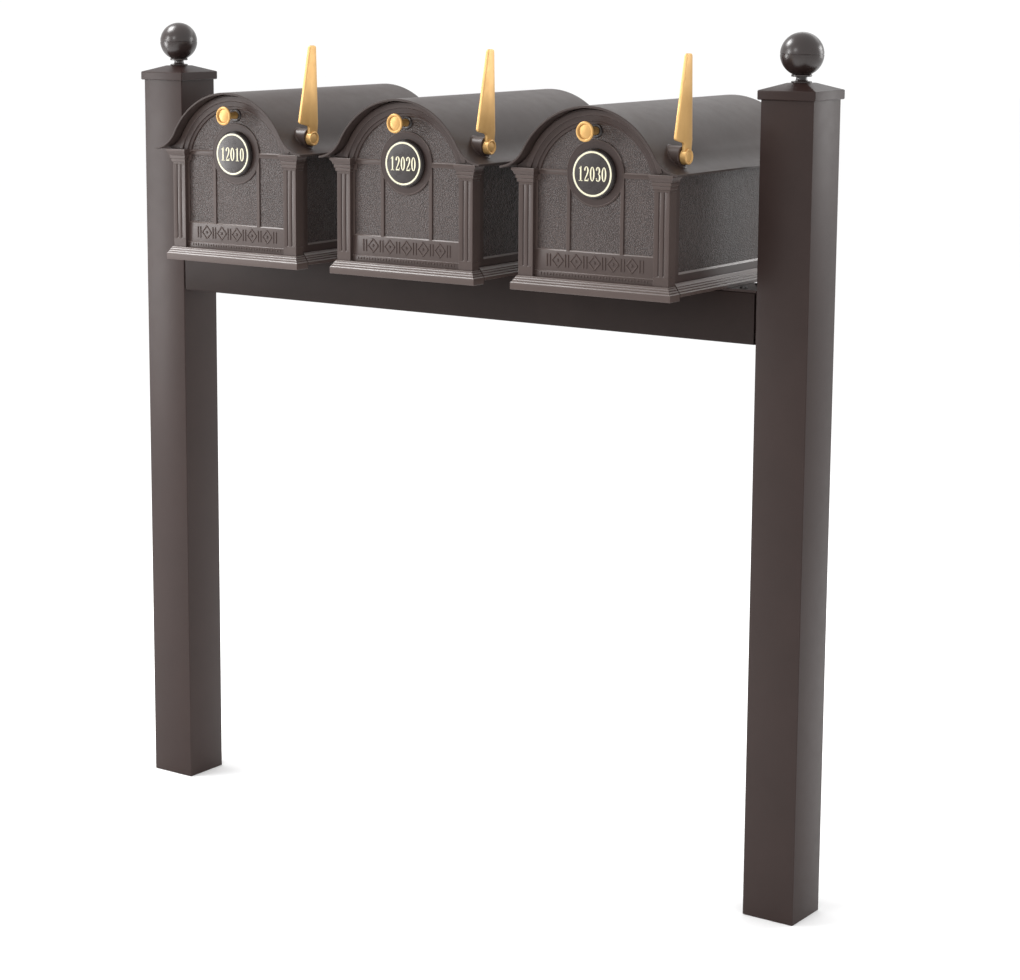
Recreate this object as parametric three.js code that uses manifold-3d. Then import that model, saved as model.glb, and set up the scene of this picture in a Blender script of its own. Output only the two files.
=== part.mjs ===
// A cluster mailbox unit: two square posts, a beam between them, and three cast mailboxes on the beam.
// Millimetres. +X runs along the beam, -Y is the front, +Z is up. The origin is on the ground,
// at the middle of the whole unit's box.
import * as THREE from "three";
import { mergeVertices } from "three/addons/utils/BufferGeometryUtils.js";
import Module from "manifold-3d";

const wasm = await Module();
wasm.setup();

const INCH = 25.4;
const GAP = 0.3; // between two pieces that touch
const CUT = 1; // how far a cutter runs past the face that it cuts

// Posts, caps and finials
const POST_SIDE = 4 * INCH;
const POST_WALL = 3.2;
const POST_HEIGHT = 1471;
const POST_PITCH = 1430;
const CAP_OVERHANG = 5;
const CAP_RIM_HEIGHT = 17;
const CAP_RISE = 12;
const CAP_TOP_HALF = 19;
const FINIAL_BASE_HEIGHT = 14;
const BALL_RADIUS = 38;
const BALL_SEAT_RADIUS = 16; // where the ball is cut flat to stand on its base

// Beam and its end brackets
const BEAM_DEPTH = 4 * INCH;
const BEAM_HEIGHT = 92;
const BEAM_WALL = 3.2;
const BEAM_TOP = 1135.6;
const BRACKET_PLATE = 3;
const BRACKET_SETBACK = 5; // how far the plate in the gap lies behind the beam's front
const BRACKET_FLANGE = 66;
const SCREW_RADIUS = 4;
const SCREW_HEAD_RADIUS = 7;
const SCREW_INSET = 34; // from the beam's end
const SCREW_SPREAD = 28; // from the beam's middle line
const BOLT_INSET = 30;

// Mailboxes: placing
const BOX_PITCH = 16 * INCH;
const BOX_GROUP_SHIFT = 35; // the row of boxes stands a little right of the middle
const MOUNT_PLATE = 4;

// Mailboxes: body. Local frame: x from the middle, y back from the base's front, z up from the base's bottom.
const BASE_STEPS = [
  { half: 163.8, front: 0, top: 18 },
  { half: 159, front: 2.5, top: 21.5 },
  { half: 156, front: 5, top: 25 },
];
const DECK_BOTTOM = 6.5;
const DECK_TOP = 12.5;
const BODY_FRONT = 35.5;
const BODY_REAR = 488;
const RIM_WIDTH = 13.5;
const WALL_HALF = 150;
const WALL = 4;

// Mailboxes: roof section, a round arch that turns outwards into flat eaves
const CROWN = 329;
const ARCH_RADIUS = 6 * INCH;
const ARCH_TURN = THREE.MathUtils.degToRad(61); // from the crown to where the curve turns outwards
const EAVE_RADIUS = 62.7;
const EAVE_SLOPE = THREE.MathUtils.degToRad(6);
const ROOF_WALL = 4;
const ROOF_FRONT = -10;
const ROOF_REAR = 498;

// Mailboxes: door, whose layers stand at different depths
const DOOR_BACK = 33;
const PANEL_FACE = 22;
const PANEL_BACK = 26;
const FRAME_FACE = 18.5;
const PILASTER_FACE = 10.7;
const PILASTER_OUTER = 153.7;
const PILASTER_INNER = 123;
const CAPITAL_TOP = 216;
const HEAD_SHOULDER = 6; // how far the door's head reaches past the pilasters, under the eaves
const CAPITAL_BOTTOM = 197;
const BAND_TOP = 75.5;
const DIVIDER_OFFSET = 54.6;
const DIVIDER_HALF = 3.8;
const ARCH_RING = 8; // how thick the door's arch is behind its face
const DOOR_CLEARANCE = 1.5; // between the door's arch and the roof
const PANEL_ARCH_RADIUS = 119;
const PLAQUE_HEIGHT = 211;
const KNOB_HEIGHT = 285;
const KNOB_FRONT = -19.6;

// Mailboxes: door hinge, at the bottom behind the door's base
const HINGE_Y = 28;
const HINGE_Z = 5;
const PIN_RADIUS = 2.5;
const LUG_OFFSET = 128;
const LUG_WIDTH = 14;
const LUG_RADIUS = 4.5;

// Mailboxes: flag
const FLAG_Y = 53;
const FLAG_Z = 245;
const FLAG_HUB_RADIUS = 13.5;
const FLAG_HUB_FACE = 166.5;
const STANDOFF_RADIUS = 18;
const STANDOFF_FACE = 154;
const SPINDLE_RADIUS = 4;

// The whole unit is centred front to back, from the knobs to the back of the roofs.
const BOX_Y = -(KNOB_FRONT + ROOF_REAR) / 2;
const POST_MIDDLE_Y = BOX_Y + (BODY_REAR + WALL) / 2;
const BEAM_BOTTOM = BEAM_TOP - BEAM_HEIGHT;
const BOX_Z = BEAM_TOP + GAP + MOUNT_PLATE + GAP - DECK_BOTTOM;
const BEAM_HALF_LENGTH = (POST_PITCH - POST_SIDE) / 2 - BRACKET_PLATE - 2 * GAP;
const BASE_HALF = BASE_STEPS[0].half;
const PLINTH_TOP = BASE_STEPS[2].top;

const bronzePost = new THREE.MeshStandardMaterial({ color: 0x51484a, roughness: 0.45, metalness: 0.3 });
const bronzeCasting = new THREE.MeshStandardMaterial({ color: 0x5a504b, roughness: 0.55, metalness: 0.3 });
const brass = new THREE.MeshStandardMaterial({ color: 0xd6a553, roughness: 0.35, metalness: 0.9 });
const plaqueBlack = new THREE.MeshStandardMaterial({ color: 0x2b2624, roughness: 0.4, metalness: 0.1 });
const steel = new THREE.MeshStandardMaterial({ color: 0x8a8a8c, roughness: 0.4, metalness: 1 });

// ---- Shapes ----

function block(x0, x1, y0, y1, z0, z1) {
  const made = new THREE.BoxGeometry(x1 - x0, y1 - y0, z1 - z0);
  return made.translate((x0 + x1) / 2, (y0 + y1) / 2, (z0 + z1) / 2);
}

function extruded(shape, depth, curveSegments) {
  return new THREE.ExtrudeGeometry(shape, { depth, bevelEnabled: false, curveSegments });
}

// A shape drawn in x and z, from y0 back to y1.
function prismAlongY(shape, y0, y1, curveSegments = 24) {
  return extruded(shape, y1 - y0, curveSegments).rotateX(Math.PI / 2).translate(0, y1, 0);
}

// A shape drawn in y and z, from x0 to x1.
function prismAlongX(shape, x0, x1, curveSegments = 12) {
  const turn = new THREE.Matrix4().makeBasis(
    new THREE.Vector3(0, 1, 0),
    new THREE.Vector3(0, 0, 1),
    new THREE.Vector3(1, 0, 0),
  );
  return extruded(shape, x1 - x0, curveSegments).applyMatrix4(turn).translate(x0, 0, 0);
}

function points(pairs) {
  return pairs.map(([a, b]) => new THREE.Vector2(a, b));
}

// A turned piece about +Z, from [radius, height] pairs that run upwards on the outside.
function turned(profile, segments = 24) {
  return new THREE.LatheGeometry(points(profile), segments).rotateX(Math.PI / 2);
}

// A square piece about +Z, from [half width, height] pairs.
function squared(profile) {
  const corners = profile.map(([half, height]) => [half * Math.SQRT2, height]);
  return turned(corners, 4).rotateZ(Math.PI / 4);
}

// A plain rod along X at (y, z).
function rodAlongX(radius, x0, x1, y, z, segments = 16) {
  const made = new THREE.CylinderGeometry(radius, radius, x1 - x0, segments);
  return made.rotateZ(Math.PI / 2).translate((x0 + x1) / 2, y, z);
}

function rodAlongZ(radius, x, y, z0, z1, segments = 12) {
  const made = new THREE.CylinderGeometry(radius, radius, z1 - z0, segments);
  return made.rotateX(Math.PI / 2).translate(x, y, (z0 + z1) / 2);
}

// ---- Joining and cutting ----

function solid(geometry) {
  const bare = geometry.clone();
  bare.deleteAttribute("normal");
  bare.deleteAttribute("uv");
  const merged = mergeVertices(bare, 1e-4);
  return new wasm.Manifold(
    new wasm.Mesh({
      numProp: 3,
      vertProperties: merged.attributes.position.array,
      triVerts: new Uint32Array(merged.index.array),
    }),
  );
}

function geometryOf(made) {
  const mesh = made.getMesh();
  const geometry = new THREE.BufferGeometry();
  geometry.setAttribute("position", new THREE.BufferAttribute(mesh.vertProperties, 3));
  geometry.setIndex(new THREE.BufferAttribute(mesh.triVerts, 1));
  geometry.computeVertexNormals();
  return geometry;
}

function joined(pieces, cutters = []) {
  let made = solid(pieces[0]);
  for (const piece of pieces.slice(1)) made = made.add(solid(piece));
  for (const cutter of cutters) made = made.subtract(solid(cutter));
  return geometryOf(made);
}

function part(name, geometry, material) {
  const mesh = new THREE.Mesh(geometry, material);
  mesh.name = name;
  return mesh;
}

// ---- Posts ----

function post() {
  const outer = POST_SIDE / 2;
  const inner = outer - POST_WALL;
  return squared([[inner, 0], [outer, 0], [outer, POST_HEIGHT], [inner, POST_HEIGHT], [inner, 0]]);
}

// A cast cap: a rim that stands out past the post, a low pyramid, and a hollow plug inside the post.
function postCap() {
  const rim = POST_SIDE / 2 + CAP_OVERHANG;
  const plug = POST_SIDE / 2 - POST_WALL - 2 * GAP;
  const plugWall = 4;
  const plugDepth = 28;
  return squared([
    [0, 2],
    [plug - plugWall, 2],
    [plug - plugWall, -plugDepth],
    [plug, -plugDepth],
    [plug, GAP],
    [rim, GAP],
    [rim, CAP_RIM_HEIGHT],
    [CAP_TOP_HALF, CAP_RIM_HEIGHT + CAP_RISE],
    [0, CAP_RIM_HEIGHT + CAP_RISE],
  ]);
}

// The finial's foot: a base disc, a waisted neck and a collar disc.
function finialBase() {
  return turned([
    [0, 0],
    [18, 0],
    [18, 2.2],
    [14, 4],
    [10.5, 6],
    [9.5, 8.5],
    [11, 9.6],
    [18, 10],
    [18, FINIAL_BASE_HEIGHT],
    [0, FINIAL_BASE_HEIGHT],
  ]);
}

// The ball, flat where it meets the collar, with a fine groove round its middle.
function finialBall() {
  const grooveDepth = 0.8;
  const grooveHalf = Math.asin(grooveDepth / BALL_RADIUS);
  const start = -Math.acos(BALL_SEAT_RADIUS / BALL_RADIUS);
  const steps = 6;
  const arc = (from, to) =>
    Array.from({ length: steps + 1 }, (_, i) => {
      const angle = from + ((to - from) * i) / steps;
      return [Math.max(0, BALL_RADIUS * Math.cos(angle)), BALL_RADIUS * Math.sin(angle)];
    });
  const lower = arc(start, -grooveHalf);
  const upper = arc(grooveHalf, Math.PI / 2);
  upper[steps][0] = 0;
  return turned([[0, BALL_RADIUS * Math.sin(start)], ...lower, [BALL_RADIUS - grooveDepth, 0], ...upper]);
}

function postAssembly(side, x) {
  const group = new THREE.Group();
  group.position.set(x, POST_MIDDLE_Y, 0);
  group.add(part(`${side}_post`, post(), bronzePost));

  const cap = part(`${side}_post_cap`, postCap(), bronzePost);
  cap.position.z = POST_HEIGHT;
  group.add(cap);

  const base = part(`${side}_finial_base`, finialBase(), bronzePost);
  base.position.z = POST_HEIGHT + CAP_RIM_HEIGHT + CAP_RISE + GAP;
  group.add(base);

  const ballSeat = BALL_RADIUS * Math.sin(Math.acos(BALL_SEAT_RADIUS / BALL_RADIUS));
  const ball = part(`${side}_finial_ball`, finialBall(), bronzePost);
  ball.position.z = base.position.z + FINIAL_BASE_HEIGHT + GAP + ballSeat;
  group.add(ball);
  return group;
}

// ---- Beam ----

// The two screws that stand in an end bracket's flange.
function screwPlaces(side) {
  const x = side * (BEAM_HALF_LENGTH - SCREW_INSET);
  return [
    { name: "front", x, y: POST_MIDDLE_Y - SCREW_SPREAD },
    { name: "rear", x, y: POST_MIDDLE_Y + SCREW_SPREAD },
  ];
}

function beam() {
  const tubeOf = (length, y, z) => block(-length, length, -y, y, -z, z);
  const y = BEAM_DEPTH / 2;
  const z = BEAM_HEIGHT / 2;
  const tube = joined(
    [tubeOf(BEAM_HALF_LENGTH, y, z)],
    [tubeOf(BEAM_HALF_LENGTH + CUT, y - BEAM_WALL, z - BEAM_WALL)],
  ).translate(0, POST_MIDDLE_Y, BEAM_BOTTOM + z);
  const holes = [];
  for (const side of [-1, 1]) {
    for (const { x, y } of screwPlaces(side)) {
      holes.push(rodAlongZ(SCREW_RADIUS + GAP, x, y, BEAM_TOP - BEAM_WALL - CUT, BEAM_TOP + CUT));
    }
    const boltX = side * (BEAM_HALF_LENGTH - BOLT_INSET);
    const boltTop = BEAM_BOTTOM + BEAM_WALL + CUT;
    holes.push(rodAlongZ(SCREW_RADIUS + GAP, boltX, POST_MIDDLE_Y, BEAM_BOTTOM - CUT, boltTop));
  }
  return joined([tube], holes);
}

// An end bracket: a plate between post and beam, a flange on the beam's top and a tongue inside the beam.
function beamBracket(side) {
  const plateOuter = BEAM_HALF_LENGTH + GAP + BRACKET_PLATE;
  const plateInner = BEAM_HALF_LENGTH + GAP;
  const front = POST_MIDDLE_Y - BEAM_DEPTH / 2;
  const rear = POST_MIDDLE_Y + BEAM_DEPTH / 2;
  const top = BEAM_TOP + GAP + MOUNT_PLATE;
  const flangeEnd = BEAM_HALF_LENGTH - BRACKET_FLANGE;
  const tongueEnd = BEAM_HALF_LENGTH - 50;
  const tongueHalf = 30;
  const tongueBottom = BEAM_BOTTOM + BEAM_WALL + GAP;
  const tongueTop = tongueBottom + 5;
  const plate = [front + BRACKET_SETBACK, rear - BRACKET_SETBACK, BEAM_BOTTOM, top - CUT];
  const along = (a, b) => (side > 0 ? [a, b] : [-b, -a]);
  const boltX = side * (BEAM_HALF_LENGTH - BOLT_INSET);
  const tongue = [POST_MIDDLE_Y - tongueHalf, POST_MIDDLE_Y + tongueHalf, tongueBottom, tongueTop];
  const pieces = [
    block(...along(plateInner, plateOuter), ...plate),
    block(...along(flangeEnd, plateOuter), front, rear, BEAM_TOP + GAP, top),
    block(...along(tongueEnd, plateOuter), ...tongue),
  ];
  const cutters = screwPlaces(side).map(({ x, y }) =>
    rodAlongZ(SCREW_RADIUS + GAP, x, y, BEAM_TOP - CUT, top + CUT),
  );
  cutters.push(rodAlongZ(SCREW_RADIUS + GAP, boltX, POST_MIDDLE_Y, tongueBottom - CUT, tongueTop + CUT));
  return joined(pieces, cutters);
}

// A round-headed screw, head up, its seat at z = 0.
function roundHeadScrew(length) {
  const headHeight = 3.6;
  return turned(
    [
      [0, -length],
      [SCREW_RADIUS, -length],
      [SCREW_RADIUS, GAP],
      [SCREW_HEAD_RADIUS, GAP],
      [SCREW_HEAD_RADIUS, 1.5],
      [SCREW_HEAD_RADIUS * 0.7, headHeight - 0.5],
      [0, headHeight],
    ],
    12,
  );
}

function beamAssembly() {
  const group = new THREE.Group();
  group.add(part("beam", beam(), bronzePost));
  for (const [side, name] of [[-1, "left"], [1, "right"]]) {
    group.add(part(`${name}_beam_bracket`, beamBracket(side), bronzePost));
    for (const place of screwPlaces(side)) {
      const screw = part(`${name}_bracket_${place.name}_screw`, roundHeadScrew(14), steel);
      screw.position.set(place.x, place.y, BEAM_TOP + GAP + MOUNT_PLATE);
      group.add(screw);
    }
    const bolt = part(`${name}_beam_bolt`, roundHeadScrew(16), bronzePost);
    bolt.position.set(side * (BEAM_HALF_LENGTH - BOLT_INSET), POST_MIDDLE_Y, BEAM_BOTTOM);
    bolt.rotation.x = Math.PI;
    group.add(bolt);
  }
  return group;
}

// ---- Mailbox roof ----

const ARCH_CENTRE_Z = CROWN - ARCH_RADIUS;
const EAVE_CENTRE_X = (ARCH_RADIUS + EAVE_RADIUS) * Math.sin(ARCH_TURN);
const EAVE_CENTRE_Z = ARCH_CENTRE_Z + (ARCH_RADIUS + EAVE_RADIUS) * Math.cos(ARCH_TURN);

// The roof's outer curve moved inwards by inset, from the left eave over the crown to the right one.
function roofCurve(inset, archSteps = 28, eaveSteps = 7) {
  const right = [];
  for (let i = 0; i <= archSteps / 2; i++) {
    const angle = (ARCH_TURN * i) / (archSteps / 2);
    const radius = ARCH_RADIUS - inset;
    right.push([radius * Math.sin(angle), ARCH_CENTRE_Z + radius * Math.cos(angle)]);
  }
  for (let i = 1; i <= eaveSteps; i++) {
    const slope = ARCH_TURN + ((EAVE_SLOPE - ARCH_TURN) * i) / eaveSteps;
    const radius = EAVE_RADIUS + inset;
    right.push([EAVE_CENTRE_X - radius * Math.sin(slope), EAVE_CENTRE_Z - radius * Math.cos(slope)]);
  }
  const left = right.slice(1).map(([x, z]) => [-x, z]);
  return [...left.reverse(), ...right];
}

// How high the roof's curve, moved inwards by inset, stands at x.
function roofHeight(x, inset) {
  const radius = EAVE_RADIUS + inset;
  const inEave = EAVE_CENTRE_X - Math.abs(x);
  if (Math.abs(x) > (ARCH_RADIUS - inset) * Math.sin(ARCH_TURN)) {
    return EAVE_CENTRE_Z - Math.sqrt(radius ** 2 - inEave ** 2);
  }
  return ARCH_CENTRE_Z + Math.sqrt((ARCH_RADIUS - inset) ** 2 - x ** 2);
}

function roof() {
  const section = [...roofCurve(0), ...roofCurve(ROOF_WALL).reverse()];
  return prismAlongY(new THREE.Shape(points(section)), ROOF_FRONT, ROOF_REAR);
}

// ---- Mailbox body ----

// The base casting: a deck, and a stepped moulding round its sides and back that the walls stand in.
function floorCasting() {
  const steps = [...BASE_STEPS, { half: 152, top: 29 }];
  const pieces = [];
  let bottom = DECK_BOTTOM;
  for (const { half, top } of steps) {
    const rear = BODY_REAR + half - WALL_HALF - RIM_WIDTH;
    pieces.push(block(-half, half, BODY_FRONT, rear, bottom, top));
    bottom = top - CUT;
  }
  for (const side of [-1, 1]) {
    const from = side * LUG_OFFSET - LUG_WIDTH / 2;
    const to = from + LUG_WIDTH;
    pieces.push(rodAlongX(LUG_RADIUS, from, to, HINGE_Y, HINGE_Z));
    pieces.push(block(from, to, HINGE_Y, BODY_FRONT + 6, HINGE_Z - 3, DECK_TOP - CUT));
  }
  const inner = WALL_HALF + GAP;
  const cutters = [
    block(-inner, inner, HINGE_Y, BODY_REAR - RIM_WIDTH, DECK_TOP, 40),
    rodAlongX(PIN_RADIUS + GAP, -170, 170, HINGE_Y, HINGE_Z, 12),
  ];
  return joined(pieces, cutters);
}

// A side wall with a sunk panel on its outside.
function sideWall(side) {
  const top = roofHeight(WALL_HALF, ROOF_WALL + GAP);
  const rear = BODY_REAR - RIM_WIDTH - GAP;
  const sink = 1.6;
  const wall = block(WALL_HALF - WALL, WALL_HALF, BODY_FRONT, rear, DECK_TOP + GAP, top);
  const sunk = block(WALL_HALF - sink, WALL_HALF + CUT, BODY_FRONT + 18, rear - 16, 46, top - 12);
  const made = joined([wall], [sunk]);
  return side > 0 ? made : made.rotateZ(Math.PI).translate(0, BODY_FRONT + rear, 0);
}

function rearWall() {
  const half = WALL_HALF - WALL - GAP;
  const inset = ROOF_WALL + GAP;
  const rear = BODY_REAR - RIM_WIDTH - GAP;
  const arch = roofCurve(inset).filter(([x]) => Math.abs(x) < half - CUT);
  const outline = [
    [-half, DECK_TOP + GAP],
    [-half, roofHeight(half, inset)],
    ...arch,
    [half, roofHeight(half, inset)],
    [half, DECK_TOP + GAP],
  ];
  return prismAlongY(new THREE.Shape(points(outline)), rear - WALL, rear);
}

// ---- Mailbox door ----

function discShape(radius, z) {
  const shape = new THREE.Shape();
  shape.absarc(0, z, radius, 0, Math.PI * 2);
  return shape;
}

// The door's head fills the roof's section above the capitals, less a running clearance.
function headShape() {
  const half = PILASTER_OUTER + HEAD_SHOULDER;
  const inset = ROOF_WALL + DOOR_CLEARANCE;
  const bottom = CAPITAL_TOP - CUT;
  const shoulder = roofHeight(half, inset);
  const curve = roofCurve(inset).filter(([x]) => Math.abs(x) < half);
  const outline = [[-half, bottom], [-half, shoulder], ...curve, [half, shoulder], [half, bottom]];
  return new THREE.Shape(points(outline));
}

// The part of a disc about the arch's centre that stands above the capitals.
function archShape(radius) {
  const springing = Math.asin((CAPITAL_TOP - CUT - ARCH_CENTRE_Z) / radius);
  const shape = new THREE.Shape();
  shape.absarc(0, ARCH_CENTRE_Z, radius, springing, Math.PI - springing);
  return shape;
}

function baseMoulding() {
  return BASE_STEPS.map(({ half, front, top }, i) => {
    const bottom = i ? BASE_STEPS[i - 1].top - CUT : 0;
    return block(-half, half, front, DOOR_BACK, bottom, top);
  });
}

function pilaster(side) {
  const across = (inner, outer) => (side > 0 ? [inner, outer] : [-outer, -inner]);
  const shaft = across(PILASTER_INNER, PILASTER_OUTER);
  const pieces = [block(...shaft, PILASTER_FACE, DOOR_BACK, PLINTH_TOP - CUT, CAPITAL_TOP)];
  const steps = 3;
  for (let i = 0; i < steps; i++) {
    const reach = 3.7 * (i + 1);
    const bottom = CAPITAL_BOTTOM + (i * (CAPITAL_TOP - CAPITAL_BOTTOM)) / steps;
    const wide = across(PILASTER_INNER - reach * 0.6, PILASTER_OUTER + reach);
    pieces.push(block(...wide, PILASTER_FACE - reach * 0.78, DOOR_BACK, bottom, CAPITAL_TOP));
  }
  return pieces;
}

// Raised strips between the panels, the string course and the round seat of the plaque.
function panelFrame() {
  const outer = PILASTER_INNER + CUT;
  const strip = (x0, x1, z0, z1) => block(x0, x1, FRAME_FACE, PANEL_BACK, z0, z1);
  const pieces = [
    strip(-outer, outer, PLINTH_TOP - CUT, BAND_TOP),
    strip(-outer, outer, CAPITAL_TOP - 11, CAPITAL_TOP),
    prismAlongY(discShape(54.6, PLAQUE_HEIGHT), FRAME_FACE, PANEL_BACK),
  ];
  for (const side of [-1, 1]) {
    const middle = side * DIVIDER_OFFSET;
    pieces.push(strip(middle - DIVIDER_HALF, middle + DIVIDER_HALF, BAND_TOP - CUT, CAPITAL_TOP));
  }
  return pieces;
}

function door() {
  const backRadius = ARCH_RADIUS - ROOF_WALL - DOOR_CLEARANCE - ARCH_RING;
  const pieces = [
    ...baseMoulding(),
    ...pilaster(-1),
    ...pilaster(1),
    block(-PILASTER_INNER - CUT, PILASTER_INNER + CUT, PANEL_FACE, DOOR_BACK, PLINTH_TOP - CUT, CAPITAL_TOP),
    prismAlongY(headShape(), PILASTER_FACE + 1.5, DOOR_BACK),
  ];
  const archPocket = archShape(PANEL_ARCH_RADIUS);
  const notch = (side) => {
    const from = side * LUG_OFFSET - LUG_WIDTH / 2 - 1;
    return block(from, from + LUG_WIDTH + 2, HINGE_Y - LUG_RADIUS - 1.5, DOOR_BACK + CUT, -CUT, 15);
  };
  const cutters = [
    prismAlongY(archPocket, -CUT, PANEL_FACE),
    block(-142, 142, PANEL_BACK, DOOR_BACK + CUT, PLINTH_TOP, CAPITAL_TOP - CUT / 2),
    prismAlongY(archShape(backRadius), PANEL_BACK, DOOR_BACK + CUT),
    notch(-1),
    notch(1),
    rodAlongX(PIN_RADIUS + GAP, -150, BASE_HALF + CUT, HINGE_Y, HINGE_Z, 12),
  ];
  const cut = joined(pieces, cutters);
  return joined([cut, ...panelFrame()]);
}

function hingePin() {
  return rodAlongX(PIN_RADIUS, -149, BASE_HALF - 1, HINGE_Y, HINGE_Z, 12);
}

// A turned piece whose axis runs forward, from [radius, y] pairs that run forward on the outside.
function turnedForward(profile, z, segments) {
  const flipped = profile.map(([radius, y]) => [radius, -y]);
  return turned(flipped, segments).rotateX(Math.PI / 2).translate(0, 0, z);
}

function doorKnob() {
  return turnedForward(
    [
      [0, PANEL_FACE - GAP],
      [9, PANEL_FACE - GAP],
      [8.5, 19],
      [5.5, 16],
      [5, -4],
      [8, -9],
      [17, -13],
      [19, -15],
      [18.6, -17.5],
      [15, -17.9],
      [9, -19.1],
      [0, KNOB_FRONT],
    ],
    KNOB_HEIGHT,
    20,
  );
}

function plaque() {
  const back = FRAME_FACE - GAP;
  return turnedForward([[0, back], [46, back], [45.5, 12], [42.5, 8.8], [0, 8.4]], PLAQUE_HEIGHT, 28);
}

// The catch: a magnet on an angle under the roof, and a steel striker inside the top of the door.
function latchMagnet() {
  const top = roofHeight(14, ROOF_WALL + GAP);
  return joined([
    block(-14, 14, 38, 50, top - 26, top),
    block(-14, 14, PANEL_BACK + 3, 39, top - 26, top - 12),
  ]);
}

function latchStriker() {
  return block(-18, 18, PANEL_BACK + GAP, PANEL_BACK + 2.3, CROWN - 34, CROWN - 17);
}

// ---- Mailbox flag ----

function flagOutline() {
  const shape = new THREE.Shape();
  shape.moveTo(-10.5, 4);
  shape.lineTo(-10.5, 19);
  shape.quadraticCurveTo(-11, 23.5, -16, 23.5);
  shape.lineTo(-35, 24);
  shape.quadraticCurveTo(-40, 25, -39, 31);
  shape.lineTo(-8.5, 168);
  shape.quadraticCurveTo(-7, 174, -2, 174);
  shape.lineTo(6, 174);
  shape.quadraticCurveTo(11, 174, 11, 169);
  shape.lineTo(15.5, 28);
  shape.lineTo(12.5, 4);
  return shape;
}

function flag() {
  const hubBack = STANDOFF_FACE + 0.5;
  const boreDepth = 8;
  return joined(
    [
      prismAlongX(flagOutline(), 157, 163, 6),
      rodAlongX(FLAG_HUB_RADIUS, hubBack, FLAG_HUB_FACE, 0, 0, 20),
    ],
    [rodAlongX(SPINDLE_RADIUS + GAP, hubBack - CUT, hubBack + boreDepth, 0, 0)],
  ).translate(0, FLAG_Y, FLAG_Z);
}

// A round boss on the roof's flank, trimmed to the roof, with the spindle that the flag turns on.
function flagStandoff() {
  const spindleEnd = STANDOFF_FACE + 7;
  const belowRoof = [...roofCurve(-GAP), [170, 0], [-170, 0]];
  return joined(
    [
      rodAlongX(STANDOFF_RADIUS, 100, STANDOFF_FACE, FLAG_Y, FLAG_Z, 24),
      rodAlongX(SPINDLE_RADIUS, STANDOFF_FACE - 4, spindleEnd, FLAG_Y, FLAG_Z),
    ],
    [prismAlongY(new THREE.Shape(points(belowRoof)), 0, 120)],
  );
}

// ---- Mailbox ----

function mountPlate() {
  const half = 145;
  const top = DECK_BOTTOM - GAP;
  const middle = POST_MIDDLE_Y - BOX_Y;
  return block(-half, half, middle - 150, middle + 150, top - MOUNT_PLATE, top);
}

function mailbox(name, x) {
  const group = new THREE.Group();
  group.position.set(x, BOX_Y, BOX_Z);
  group.add(
    part(`${name}_mounting_plate`, mountPlate(), bronzePost),
    part(`${name}_box_floor`, floorCasting(), bronzeCasting),
    part(`${name}_box_left_wall`, sideWall(-1), bronzeCasting),
    part(`${name}_box_right_wall`, sideWall(1), bronzeCasting),
    part(`${name}_box_rear_wall`, rearWall(), bronzeCasting),
    part(`${name}_box_roof`, roof(), bronzeCasting),
    part(`${name}_door`, door(), bronzeCasting),
    part(`${name}_door_knob`, doorKnob(), brass),
    part(`${name}_door_hinge_pin`, hingePin(), steel),
    part(`${name}_number_plaque`, plaque(), plaqueBlack),
    part(`${name}_latch_magnet`, latchMagnet(), steel),
    part(`${name}_latch_striker`, latchStriker(), steel),
    part(`${name}_flag`, flag(), brass),
    part(`${name}_flag_standoff`, flagStandoff(), bronzeCasting),
  );
  return group;
}

const unit = new THREE.Group();
unit.add(postAssembly("left", -POST_PITCH / 2));
unit.add(postAssembly("right", POST_PITCH / 2));
unit.add(beamAssembly());
["left", "middle", "right"].forEach((name, i) => {
  unit.add(mailbox(name, BOX_GROUP_SHIFT + (i - 1) * BOX_PITCH));
});

export default unit;
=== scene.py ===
"""A cluster mailbox unit: three cast mailboxes on a beam between two square posts.

Each builder works in millimetres in its own small frame, and place() turns that into metres in the row frame.
A mailbox's frame has x from its middle, y back from its door's front and z up from its door's bottom.
"""

import math

import bmesh
import bpy
from mathutils import Matrix, Vector, noise


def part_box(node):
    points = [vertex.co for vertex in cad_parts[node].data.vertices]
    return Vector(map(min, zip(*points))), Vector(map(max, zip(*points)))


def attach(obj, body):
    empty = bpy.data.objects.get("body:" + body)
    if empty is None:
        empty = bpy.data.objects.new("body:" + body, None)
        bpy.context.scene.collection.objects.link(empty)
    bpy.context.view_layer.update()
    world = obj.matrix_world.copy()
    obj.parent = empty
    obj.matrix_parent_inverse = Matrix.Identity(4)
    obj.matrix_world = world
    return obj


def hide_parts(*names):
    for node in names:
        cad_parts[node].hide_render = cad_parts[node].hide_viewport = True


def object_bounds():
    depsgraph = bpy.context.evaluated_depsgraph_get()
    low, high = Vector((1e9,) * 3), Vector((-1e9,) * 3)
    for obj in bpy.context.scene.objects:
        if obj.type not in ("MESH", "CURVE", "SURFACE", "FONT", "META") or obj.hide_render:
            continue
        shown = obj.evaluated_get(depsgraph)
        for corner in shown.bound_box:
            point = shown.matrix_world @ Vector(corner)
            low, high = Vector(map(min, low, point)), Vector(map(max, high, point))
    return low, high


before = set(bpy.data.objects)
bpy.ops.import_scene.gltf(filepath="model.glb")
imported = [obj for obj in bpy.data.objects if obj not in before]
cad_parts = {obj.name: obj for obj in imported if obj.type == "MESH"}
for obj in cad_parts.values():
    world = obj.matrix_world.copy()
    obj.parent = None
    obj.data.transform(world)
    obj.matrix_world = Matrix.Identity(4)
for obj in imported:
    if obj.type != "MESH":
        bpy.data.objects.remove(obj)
cad_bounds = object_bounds()

MM = 0.001
BOXES = ("left", "middle", "right")
NUMBERS = {"left": "12010", "middle": "12020", "right": "12030"}

# ---- Places from the frame ----


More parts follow.
